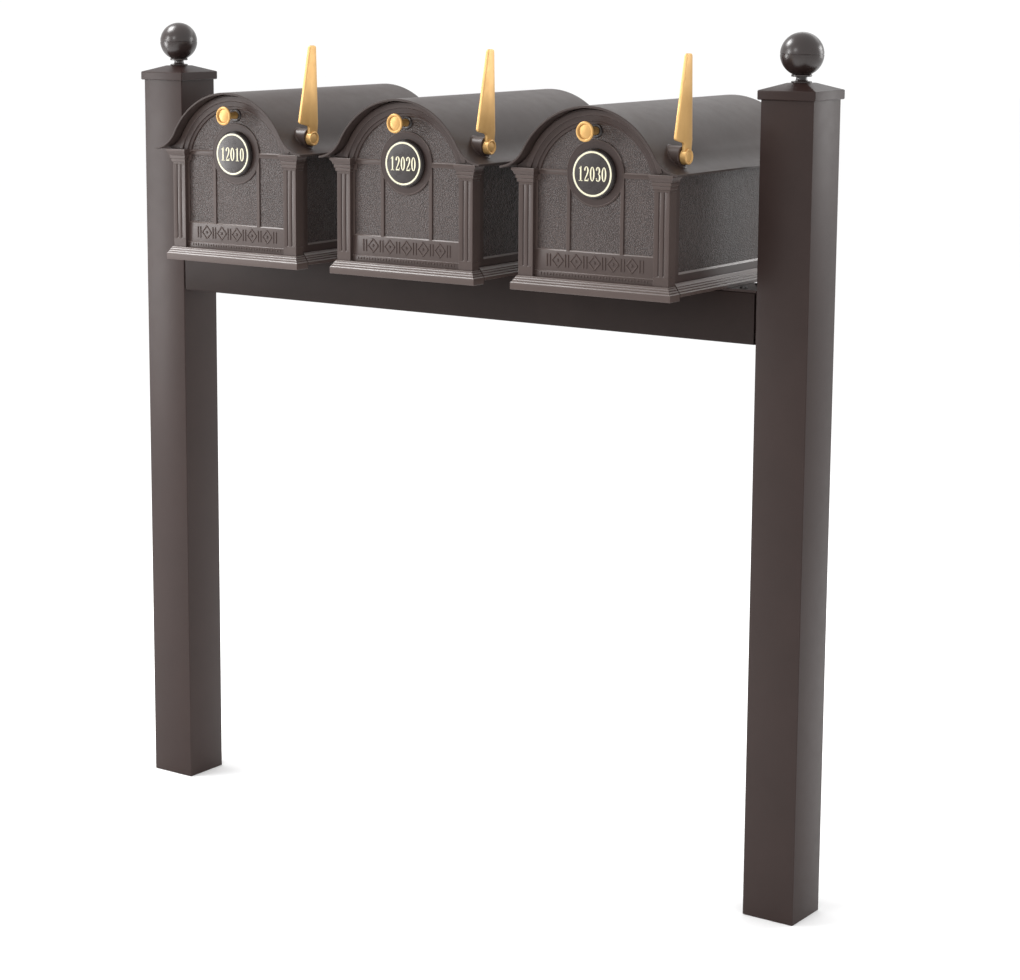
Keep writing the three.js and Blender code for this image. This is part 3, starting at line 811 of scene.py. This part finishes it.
def rear_wall(box, corner):
    """The back, filled up to the roof, with a sunk hammered panel like the sides, in the same darker copy:
    painted shade.
    """
    half = REAR_HIGH.x
    outline = under_roof(half, REAR_LOW.z, ROOF_WALL + 0.3)
    made = Piece().add(prism(outline, "y", REAR_LOW.y, REAR_HIGH.y - 0.6, 0.4), CASTING)
    margin = 16
    wide = half - margin
    edge = half - 1

    def panel(u, v):
        x = wide * (2 * u - 1)
        top = roof_height(min(abs(x) + margin, half), ROOF_WALL) - margin
        return (x, REAR_HIGH.y - 0.5, PANEL_FOOT + (top - PANEL_FOOT) * v), (0, 1, 0)

    made.add(hammered_sheet(panel, 100, 90), SHADED_HAMMERED_WALL)
    strips = ((-edge, edge, REAR_LOW.z + 8, PANEL_FOOT), (-edge, -wide, 40, 215), (wide, edge, 40, 215))
    for x0, x1, z0, z1 in strips:
        made.add(block(x0, x1, REAR_HIGH.y - 1.6, REAR_HIGH.y, z0, z1, 0.5), CASTING)
    made.place(f"{box}_cast_rear_wall", corner, "stand", f"{box}_box_rear_wall")


# ---- Mailbox door ----


def door_base(made):
    """The base moulding across the door and its two short returns, with pockets behind for the hinge lugs."""
    profile = [(0, 0.4), (0.5, 0), *base_profile()]
    front = [
        (z, -BASE_HALF + inward, BASE_HALF - inward, inward * 0.9, LUG_POCKET_FRONT) for z, inward in profile
    ]
    made.add(stack(front, 0.12), CASTING, PAINTED_LEDGE_HIGHLIGHT)
    for side in (-1, 1):
        rear = []
        for z, inward in profile:
            x0, x1 = sorted((side * (LUG_OFFSET + LUG_POCKET_HALF), side * (BASE_HALF - inward)))
            rear.append((z, x0, x1, LUG_POCKET_FRONT, DOOR_BACK))
        made.add(stack(rear, 0.12), CASTING, PAINTED_LEDGE_HIGHLIGHT)
        x0 = side * LUG_OFFSET - LUG_POCKET_HALF - 1
        x1 = side * LUG_OFFSET + LUG_POCKET_HALF + 1
        made.add(block(x0, x1, LUG_POCKET_FRONT - 1, DOOR_BACK - 0.1, LUG_POCKET_TOP, 24.9, 0.2), CASTING)
    middle = LUG_OFFSET - LUG_POCKET_HALF
    made.add(block(-middle, middle, LUG_POCKET_FRONT, DOOR_BACK, 0.2, 25, 0.3), CASTING)


def shaft_outline(side, fluted):
    """A pilaster's section: its face, with two flutes if fluted, its outer side and the rim behind."""
    inner, outer, face = PILASTER_INNER, PILASTER_OUTER, PILASTER_FACE
    middle = (inner + outer) / 2
    outline = [(inner, BEDDED), (inner, face)]
    if fluted:
        for centre in (middle - FLUTE_OFFSET, middle + FLUTE_OFFSET):
            outline += arc(centre, face, FLUTE_RADIUS, 180, 0, 6)
    outline += [(outer, face), (outer, DOOR_BACK), (RIM_INNER, DOOR_BACK), (RIM_INNER, BEDDED)]
    return [(side * x, y) for x, y in outline]


def pilaster(made, side):
    for start, end, fluted in ((24, 41, False), (41, 186, True), (186, CAPITAL_TOP, False)):
        made.add(prism(shaft_outline(side, fluted), "z", start, end, 0.4, 60), CASTING)
    middle = side * (PILASTER_INNER + PILASTER_OUTER) / 2
    for centre in (middle - FLUTE_OFFSET, middle + FLUTE_OFFSET):
        back = PILASTER_FACE + 2
        scoop = [(PILASTER_FACE + 0.1, 41), (back, 41), (back, 44), (PILASTER_FACE + 1.5, 44)]
        # The scoops at the flutes' feet take the painted ledge highlight: painted glints.
        made.add(prism(scoop, "x", centre - FLUTE_RADIUS, centre + FLUTE_RADIUS, 0), CASTING, PAINTED_LEDGE_HIGHLIGHT)


def capital(made, side):
    """Mouldings that step forwards and outwards under a flat abacus. The rim behind stays hollow."""
    steps = (
        (0, 26),
        (2.4, 25),
        (2.6, 20.2),
        (2.2, 19.6),
        (4.6, 18.6),
        (4.8, 13.6),
        (4.4, 13),
        (6.8, 12),
        (8.0, 8),
        (10.6, 4.6),
        (11.1, 3.6),
        (11.1, 0.5),
        (10.6, 0),
    )
    front, behind = [], []
    for reach, below_top in steps:
        z = CAPITAL_TOP - below_top
        inner = side * (PILASTER_INNER - reach * 0.6)
        rim = side * (RIM_INNER + 1)
        outer = side * (PILASTER_OUTER + reach)
        front.append((z, min(inner, outer), max(inner, outer), PILASTER_FACE - reach * 0.78, BEDDED))
        behind.append((z, min(rim, outer), max(rim, outer), BEDDED, DOOR_BACK - 0.4))
    made.add(stack(front, 0.15), CASTING, PAINTED_LEDGE_HIGHLIGHT)
    made.add(stack(behind, 0.15), CASTING, PAINTED_LEDGE_HIGHLIGHT)


def ledged_strip(made, face, bottom, top, lean):
    """A strip across the door whose upper edge leans back as a ledge."""
    outer = PILASTER_INNER + 1
    crest = top + 0.6
    section = [(BEDDED, bottom), (face, bottom), (face, top - lean), (face + 3.2, crest), (BEDDED, crest)]
    made.add(prism(section, "x", -outer, outer, 0.3), CASTING, PAINTED_LEDGE_HIGHLIGHT)


def panel_frame(made):
    """The raised strips between the panels, their ledges, the string course and the plaque's round seat."""
    ledged_strip(made, FRAME_FACE, BAND_FOOT, BAND_TOP, 2.6)
    ledged_strip(made, FRAME_FACE - 1.5, BAND_FOOT, LOWER_BAND_TOP, 1.6)
    ledged_strip(made, FRAME_FACE, CAPITAL_TOP - 10.5, CAPITAL_TOP, 3)
    for x in (-DIVIDER_OFFSET, DIVIDER_OFFSET):
        x0 = x - DIVIDER_HALF
        x1 = x + DIVIDER_HALF
        made.add(block(x0, x1, FRAME_FACE, BEDDED, BAND_TOP - 3, CAPITAL_TOP - 10, 0.8), CASTING)
    face = FRAME_FACE - 0.5
    radius = SEAT_RADIUS
    seat = [(0, BEDDED), (radius, BEDDED), (radius, face + 0.9), (radius - 0.9, face)]
    seat += [(radius - 2.4, face), (radius - 3, face + 0.3), (0, face + 0.3)]
    made.add(turned(seat, "y", (0, 0, PLAQUE_Z), 72), CASTING, PAINTED_LEDGE_HIGHLIGHT)


def panels(made):
    """The plain slab behind, and the beaten faces of the three panels and the arch."""
    slab = under_roof(RIM_INNER, BAND_FOOT, ROOF_WALL + RUNNING_GAP + 1)
    made.add(prism(slab, "y", PANEL_FACE + 0.6, PANEL_BACK, 0), CASTING)
    inner = DIVIDER_OFFSET - DIVIDER_HALF + 1
    outer = DIVIDER_OFFSET + DIVIDER_HALF - 1
    edge = PILASTER_INNER - 4.4
    tall = CAPITAL_TOP - 8 - BAND_TOP

    def flat(x0, x1):
        def point(u, v):
            return (x0 + (x1 - x0) * u, BEATEN_FACE, BAND_TOP - 1 + tall * v), (0, -1, 0)

        return point

    for x0, x1, across in ((-edge, -outer, 26), (-inner, inner, 40), (outer, edge, 26)):
        made.add(hammered_sheet(flat(x0, x1), across, 52), HAMMERED)

    def under_arch(u, v):
        z = CAPITAL_TOP - 2 + (ARCH_CENTRE + 120 - CAPITAL_TOP + 1.8) * math.sin(v * math.pi / 2)
        half = math.sqrt(max(0.01, 120.5**2 - (z - ARCH_CENTRE) ** 2))
        return (half * (2 * u - 1), BEATEN_FACE, z), (0, -1, 0)

    made.add(hammered_sheet(under_arch, 90, 32), HAMMERED)


def panel_returns(made):
    """The narrow stiles beside the pilasters, each with a small block in its top corner."""
    for side in (-1, 1):
        x0, x1 = sorted((side * (PILASTER_INNER - 4.6), side * (PILASTER_INNER + 1)))
        made.add(block(x0, x1, FRAME_FACE, BEDDED, BAND_TOP - 3, CAPITAL_TOP - 2, 0.8), CASTING)
        x0, x1 = sorted((side * (PILASTER_INNER - 10), side * (PILASTER_INNER - 3)))
        made.add(block(x0, x1, FRAME_FACE, BEDDED, CAPITAL_TOP - 21, CAPITAL_TOP - 8, 0.8), CASTING)


def door_arch(made):
    """The head under the eaves and the arch moulding in three fasciae, with the hollow rim behind."""
    clear = ROOF_WALL + RUNNING_GAP
    springing = math.asin((HEAD_FOOT - ARCH_CENTRE) / 133)
    profile = [
        (119, BEDDED),
        (119, 20.2),
        (119.8, 18.2),
        (121.4, 17.2),
        (124.4, 17.0),
        (125.0, 14.8),
        (125.8, 14.0),
        (134.2, 13.7),
        (134.9, 12.0),
        (135.8, 11.2),
        (144.5, 10.9),
        (145.3, 12.4),
        (145.3, BEDDED),
    ]
    shell = turned(profile, "y", (0, 0, ARCH_CENTRE), 72, springing, math.pi - springing)
    made.add(rounded(shell, 0.35, 1, 50), CASTING)
    half = PILASTER_OUTER + 6
    head = under_roof(half, HEAD_FOOT, clear)
    foot_angle = math.degrees(springing)
    inside = arc(0, ARCH_CENTRE, 140, 180 - foot_angle, foot_angle, 60)
    inside = [(x, z) for x, z in inside if z > HEAD_FOOT + 0.3]
    start, end = inside[0][0], inside[-1][0]
    ring = head + [(end, HEAD_FOOT), *reversed(inside), (start, HEAD_FOOT)]
    made.add(prism(ring, "y", 12.2, DOOR_BACK, 0.5, 50), CASTING)


def bar(made, x0, z0, x1, z1, width, face, height):
    """A raised stroke with sloping sides from one point to the other."""
    along = Vector((x1 - x0, 0, z1 - z0)).normalized()
    across = Vector((along.z, 0, -along.x))
    ends = (Vector((x0, face, z0)), Vector((x1, face, z1)))
    section = ((-width / 2, 0.3), (-width * 0.28, -height), (width * 0.28, -height), (width / 2, 0.3))
    loops = [[end + across * a + Vector((0, b, 0)) for a, b in section] for end in ends]
    made.add(close_loops(loops), CASTING)


def ornament(made):
    """A row of lozenges and reeds on the wide band, and bead and reel on the narrow one."""
    face = FRAME_FACE
    middle = (LOWER_BAND_TOP + BAND_TOP) / 2 - 0.6
    pitch = 38
    half_width = 11.5
    top, bottom = middle + 12.5, middle - 12.5
    for i in range(-2, 3):
        x = i * pitch
        tips = ((x - half_width, middle), (x, top), (x + half_width, middle), (x, bottom))
        for (x0, z0), (x1, z1) in zip(tips, (*tips[1:], tips[0])):
            bar(made, x0, z0, x1, z1, 3.4, face, 1.3)
        made.add(dome(x, face, middle, 3.2, 1.8), CASTING)
    for i in range(-3, 3):
        for offset in (-3.2, 3.2):
            x = (i + 0.5) * pitch + offset
            bar(made, x, middle - 11, x, middle + 11, 3, face, 1.3)
    narrow, level = FRAME_FACE - 1.5, 31
    for i in range(-17, 18):
        x = i * 6.4
        if i % 2:
            bar(made, x, level - 2.6, x, level + 2.6, 1.8, narrow, 0.9)
        else:
            made.add(dome(x, narrow, level, 2.1, 1.3), CASTING)


def door(box, corner):
    made = Piece()
    door_base(made)
    for side in (-1, 1):
        pilaster(made, side)
        capital(made, side)
    panels(made)
    panel_frame(made)
    panel_returns(made)
    door_arch(made)
    ornament(made)
    made.place(f"{box}_cast_door", corner, f"{box}_door", f"{box}_door")


def knob(box, corner):
    """A gilt pull: a dished face in a thick rolled rim, on a waisted stem that leaves a cast boss."""
    profile = [(0, 21.5), (7.6, 21.5), (7.6, 20), (6.8, 15), (6, 8), (5.6, 0)]
    profile += [(6.4, -5), (8.6, -9), (12.2, -11.6)]
    for i in range(15):
        angle = math.radians(15 * i - 70)
        profile.append((15.2 + 2.6 * math.cos(angle), -15.9 - 2.6 * math.sin(angle)))
    profile += [(radius, -15.4 - 1.6 * (1 - (radius / 12.4) ** 2)) for radius in (12.2, 10, 7.5, 5, 2.5)]
    made = Piece().add(turned([*profile, (0, -17)], "y", (0, 0, KNOB_Z), 56), KNOB_BRASS)
    boss = [(5, 21.6), (13, 21.6), (12.6, 19.4), (11.4, 17.8), (9.6, 17), (8, 17.2), (7, 18.4), (5, 18.6)]
    made.add(turned(boss, "y", (0, 0, KNOB_Z), 40), PLAQUE_BLACK)
    made.place(f"{box}_pull_knob", corner, f"{box}_door", f"{box}_door_knob")


# ---- Number plaque ----


def stroke(points, widths, face, height):
    """A raised stroke through (x, z) points, as wide at each as widths says."""
    loops = []
    for i, (x, z) in enumerate(points):
        before, after = points[max(0, i - 1)], points[min(len(points) - 1, i + 1)]
        along = Vector((after[0] - before[0], 0, after[1] - before[1])).normalized()
        across = Vector((along.z, 0, -along.x)) * widths[i] / 2
        here = Vector((x, face, z))
        rise = Vector((0, -height, 0))
        loops.append([here - across, here - across * 0.86 + rise, here + across * 0.86 + rise, here + across])
    return close_loops(loops)


def oval(cx, cz, wide, tall, start, end, steps=20):
    """Points on an upright oval, its angles in degrees."""
    angles = [math.radians(start + (end - start) * i / steps) for i in range(steps + 1)]
    return [(cx + wide * math.cos(angle), cz + tall * math.sin(angle)) for angle in angles]


def stressed(points, cx, wide, thin=1.3, thick=3.1):
    """Stroke widths that swell where the curve runs upright, as in a Roman figure."""
    return [thin + (thick - thin) * min(1, abs(x - cx) / wide) ** 1.5 for x, _ in points]


def figure_strokes(figure):
    """The strokes of one figure, as (points, widths), about 26 high and 8 wide, about its middle."""
    if figure == "0":
        ring = oval(0, 0, 3.4, 11.9, 0, 360, 36)
        return [(ring, stressed(ring, 0, 3.4))]
    if figure == "1":
        return [
            ([(0.3, -12.6), (0.3, 12.8)], [3.1, 3.1]),
            ([(-3.4, -12.3), (4.0, -12.3)], [1.3, 1.3]),
            ([(-3.4, 8.6), (-1.6, 9.6), (0.3, 12.4)], [0.9, 1.5, 1.6]),
        ]
    if figure == "2":
        bowl = oval(0, 6.0, 3.3, 6.0, 165, -35, 18)
        tail = [bowl[-1], (1.0, -2.2), (-1.8, -7.4), (-3.4, -11.4)]
        return [
            (bowl, stressed(bowl, 0, 3.3)),
            (tail, [2.7, 2.4, 1.8, 1.4]),
            ([(-4.0, -11.6), (4.1, -11.6)], [2.5, 2.5]),
            ([(3.7, -11.8), (4.1, -7.8)], [1.5, 1.0]),
            ([(-3.8, 7.6), (-2.6, 5.6)], [2.8, 2.8]),
        ]
    upper = oval(-0.2, 6.2, 3.0, 5.8, 160, -85, 20)
    lower = oval(-0.2, -5.8, 3.7, 6.2, 85, -160, 22)
    return [
        (upper, stressed(upper, -0.2, 3.0)),
        (lower, stressed(lower, -0.2, 3.7)),
        ([(-3.6, 8.4), (-2.4, 6.6)], [2.8, 2.8]),
        ([(-4.0, -7.4), (-2.8, -9.2)], [3.0, 3.0]),
    ]


def plaque(box, corner):
    """A black disc with a rolled edge, an ivory ring and the box's number."""
    front = PLAQUE_LOW.y + 0.8
    body = [(0, 18.2), (43.6, 18.2), (44, 17.4), (43.4, 13.2), *arc(38.9, 12.9, 4.1, 0, -85, 8), (0, front)]
    made = Piece().add(turned(body, "y", (0, 0, PLAQUE_Z), 80), PLAQUE_BLACK)
    rim = PLAQUE_LOW.y
    ring = [(36, front + 0.2), (36.2, front - 0.6), (36.7, rim)]
    ring += [(38.8, rim), (39.3, front - 0.6), (39.5, front + 0.2)]
    made.add(turned(ring, "y", (0, 0, PLAQUE_Z), 80), PLAQUE_IVORY)
    pitch = 11.9
    for i, figure in enumerate(NUMBERS[box]):
        middle = (i - 2) * pitch
        for points, widths in figure_strokes(figure):
            moved = [(x + middle, z + PLAQUE_Z) for x, z in points]
            made.add(stroke(moved, widths, front + 0.2, 0.9), PLAQUE_IVORY)
    made.place(f"{box}_plaque", corner, f"{box}_door", f"{box}_number_plaque")


# ---- Flag ----


def flag_outline():
    """The blade from the side, y back and z up from its pivot."""
    top_front = arc(-2.6, 168.4, 6, 168, 95, 5)
    top_back = arc(6.2, 169.2, 5, 88, -2, 5)
    tab = arc(-33.8, 33.6, 4.8, 252, 168, 5)
    heel = arc(-15.5, 19.4, 5, 0, 76, 4)
    return [(-10.5, 3), *heel, *tab, *top_front, *top_back, (15.5, 28), (12.5, 3)]


def flag(box, corner):
    """A gilt blade with bevelled edges on a turned hub with a ring on its face."""
    made = Piece()
    blade = prism(flag_outline(), "x", 157, 163, 0)
    rim = []
    for edge in blade.edges:
        start, end = (vertex.co.x for vertex in edge.verts)
        if abs(start - end) < 1e-4 and edge.calc_face_angle() > 1:
            rim.append(edge)
    bmesh.ops.bevel(blade, geom=rim, offset=2.2, segments=2, profile=0.6, affect="EDGES", clamp_overlap=True)
    made.add(blade, BRASS)
    inside, outside = FLAG_LOW.x, FLAG_HIGH.x
    hub = [(4.4, inside), (12.8, inside), (HUB_RADIUS, inside + 0.7), (HUB_RADIUS, 165.2), (12.9, 166.2)]
    hub += [(11.6, outside), (10.4, 166.2), (9.8, 165.0), (8.8, 164.8), (7.4, 165.7), (3, 166.3)]
    hub += [(0, outside), (0, inside + 8.5), (4.4, inside + 8)]
    made.add(turned(hub, "x", (0, 0, 0), 48), BRASS)
    made.turn(Matrix.Translation((0, FLAG_Y, FLAG_Z)))
    made.place(f"{box}_signal_flag", corner, f"{box}_flag", f"{box}_flag")


def standoff(box, corner):
    """A boss whose foot follows the roof's flank, with a bead round the foot and the flag's spindle."""
    face = STANDOFF_HIGH.x - 7
    made = Piece()
    sides = 48
    foot, shoulder, rim = [], [], []
    for i in range(sides):
        angle = math.tau * i / sides
        y = math.cos(angle)
        z = math.sin(angle)
        height = FLAG_Z + STANDOFF_RADIUS * z
        foot.append((roof_flank(height) + 0.2, FLAG_Y + STANDOFF_RADIUS * y, height))
        shoulder.append((face - 1, FLAG_Y + STANDOFF_RADIUS * y, height))
        rim.append((face, FLAG_Y + (STANDOFF_RADIUS - 1) * y, FLAG_Z + (STANDOFF_RADIUS - 1) * z))
    made.add(close_loops([foot, shoulder, rim]), CASTING)
    bead = []
    for i in range(sides):
        angle = math.tau * i / sides
        loop = []
        for j in range(8):
            turn = math.tau * j / 8
            radius = STANDOFF_RADIUS + 0.6 + 1.3 * math.cos(turn)
            height = FLAG_Z + radius * math.sin(angle)
            out = roof_flank(height) + 0.9 + 1.3 * math.sin(turn)
            loop.append((out, FLAG_Y + radius * math.cos(angle), height))
        bead.append(loop)
    made.add(close_loops(bead, closed=True), CASTING)
    spindle = [(0, face - 2), (4, face - 2), (4, face + 6.5), (3.5, face + 7), (0, face + 7)]
    made.add(turned(spindle, "x", (0, FLAG_Y, FLAG_Z), 24), ZINC)
    made.place(f"{box}_flag_boss", corner, "stand", f"{box}_flag_standoff")


def mount_plate(box, corner):
    """The plate between the mailbox and the beam."""
    middle = (PLATE_LOW.y + PLATE_HIGH.y) / 2
    depth = (PLATE_HIGH.y - PLATE_LOW.y) / 2
    outline = [(x, y + middle) for x, y in rounded_square(PLATE_HIGH.x, 8, 5, depth)]
    made = Piece().add(prism(outline, "z", PLATE_LOW.z, PLATE_HIGH.z, 0.6), POST_COAT)
    made.place(f"{box}_mount_plate", corner, "stand", f"{box}_mounting_plate")


# ---- The whole unit ----


def keep_cad_looks():
    """CAD pieces whose shape is right only take a finished material."""
    finishes = {
        "beam_bracket": POST_COAT,
        "door_hinge_pin": ZINC,
        "latch_magnet": ZINC,
        "latch_striker": ZINC,
    }
    for name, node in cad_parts.items():
        for ending, finish in finishes.items():
            if name.endswith(ending):
                node.data.materials.clear()
                node.data.materials.append(finish)


def build():
    for side in ("left", "right"):
        post(side)
        post_cap(side)
        finial(side)
        fasteners(side)
    beam()
    for box in BOXES:
        corner = corner_of(box)
        roof(box, corner)
        box_floor(box, corner)
        side_wall(box, -1, corner)
        side_wall(box, 1, corner)
        rear_wall(box, corner)
        door(box, corner)
        knob(box, corner)
        plaque(box, corner)
        flag(box, corner)
        standoff(box, corner)
        mount_plate(box, corner)
    keep_cad_looks()


# ---- Stage, lights and camera ----


def stage_floor():
    made, shader = node_material("pale_floor")
    shader.inputs["Base Color"].default_value = (0.97, 0.97, 0.97, 1)
    shader.inputs["Roughness"].default_value = 0.9
    shader.inputs["Specular IOR Level"].default_value = 0.1
    bpy.ops.mesh.primitive_plane_add(size=60, location=(0, 0, -0.0005))
    floor = bpy.context.object
    floor.name = "studio_floor"
    floor.data.materials.append(made)


def soft_light(name, place, target, size, power):
    data = bpy.data.lights.new(name, "AREA")
    data.shape = "RECTANGLE"
    data.size, data.size_y = size
    data.energy = power
    lamp = bpy.data.objects.new(name, data)
    lamp.location = place
    lamp.rotation_mode = "QUATERNION"
    lamp.rotation_quaternion = (Vector(target) - Vector(place)).to_track_quat("-Z", "Y")
    bpy.context.scene.collection.objects.link(lamp)


def lights():
    world = bpy.data.worlds.new("studio")
    world.use_nodes = True
    sky = world.node_tree.nodes["Background"]
    sky.inputs["Color"].default_value = (1, 1, 1, 1)
    sky.inputs["Strength"].default_value = 1.04
    bpy.context.scene.world = world
    soft_light("key", (-2.7, -3.1, 2.4), (-0.1, -0.2, 1.25), (1.2, 1.2), 57)
    soft_light("front_window", (0.0, -4.0, 3.1), (0, 0, 1.3), (0.42, 0.38), 22)
    soft_light("left_window", (-2.6, -1.7, 1.0), (-0.7, 0, 0.9), (0.8, 1.1), 34)
    soft_light("right_back", (2.1, 2.2, 1.7), (0.7, 0, 1.2), (0.9, 1.2), 17)
    soft_light("roof_glow", (0.2, 2.6, 3.1), (0, 0, 1.4), (3.2, 0.8), 9)
    soft_light("flank_window", (2.6, 3.1, 2.6), (0.4, 0, 1.35), (1.3, 0.35), 15)
    soft_light("ledge_light", (-2.2, -0.5, 3.9), (0, -0.2, 1.2), (1.5, 1.2), 105)


def camera():
    """The photograph's view: from the front right and a little above, with the lens shifted up."""
    low, high = cad_bounds
    middle = (low + high) / 2
    foot = Vector((middle.x, middle.y, 0))
    turn = math.radians(36.57)
    pitch = math.radians(9.27)
    offset = Vector((2.7576, -3.8997, 1.6824))
    focal_pixels = 2509.0
    picture_width = 1020
    data = bpy.data.cameras.new("view")
    data.sensor_width = 36
    data.lens = focal_pixels / picture_width * data.sensor_width
    data.shift_x = 0.1048
    data.shift_y = -0.1029
    made = bpy.data.objects.new("view", data)
    made.location = foot + offset
    ahead = Vector((-math.sin(turn) * math.cos(pitch), math.cos(turn) * math.cos(pitch), -math.sin(pitch)))
    made.rotation_mode = "QUATERNION"
    made.rotation_quaternion = ahead.to_track_quat("-Z", "Y")
    bpy.context.scene.collection.objects.link(made)
    bpy.context.scene.camera = made


build()
camera()
lights()
stage_floor()
bpy.context.scene.view_settings.view_transform = "Standard"
